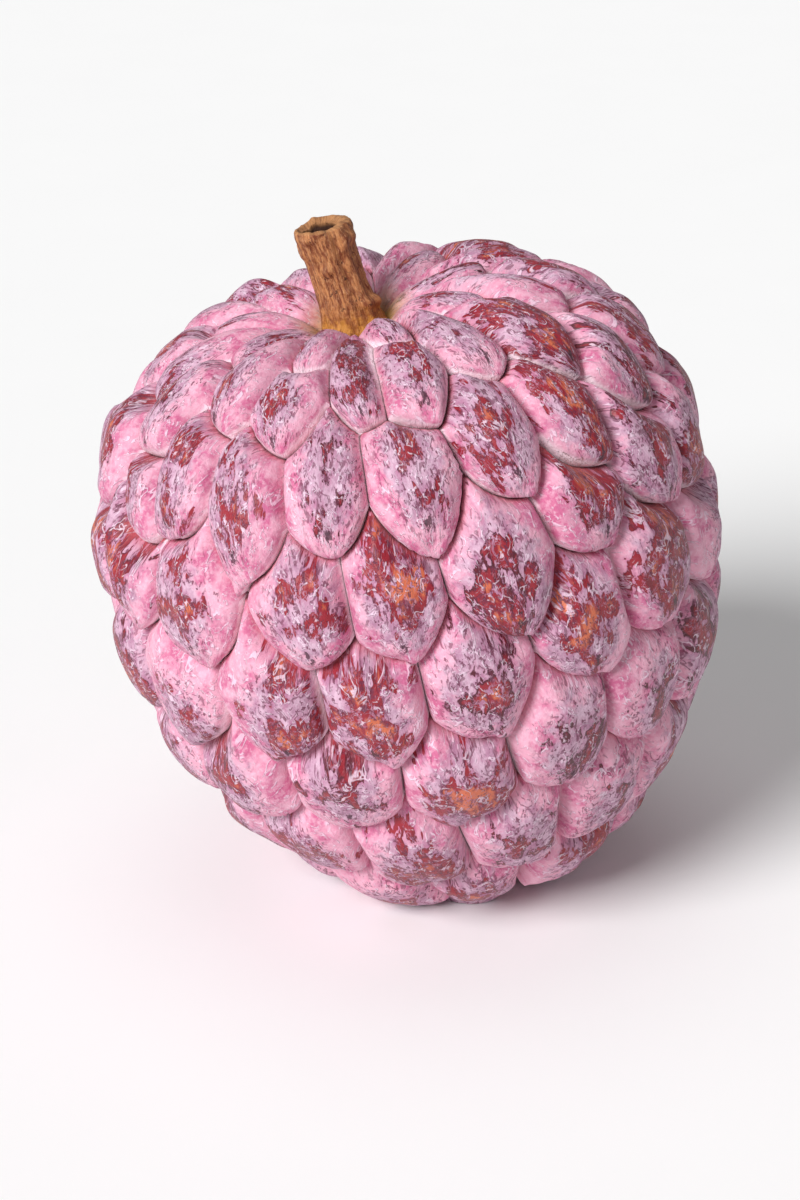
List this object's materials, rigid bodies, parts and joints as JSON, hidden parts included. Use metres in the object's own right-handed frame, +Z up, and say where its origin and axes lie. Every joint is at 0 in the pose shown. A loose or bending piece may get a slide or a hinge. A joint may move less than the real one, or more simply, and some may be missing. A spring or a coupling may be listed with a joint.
{
  "type": "custard apple",
  "caption": "Heart-shaped knobbly fruit covered in overlapping rounded carpels, leaning to one side, with a short hollow-ended stem in a shallow cavity.",
  "frame": {"origin": "middle of the small flat spot that the fruit rests on", "axes": "+Z up from the surface it rests on; -Y towards the viewer of the picture; the stem end leans towards -X"},
  "size_m": [0.0787, 0.0779, 0.0867],
  "materials": {
    "skin": "pink and wine-red fruit skin with a pale waxy bloom",
    "stem_bark": "dry fibrous brown stem"
  },
  "bodies": {
    "root": {"fruit": "skin", "stem": "stem_bark"}
  },
  "joints": []
}
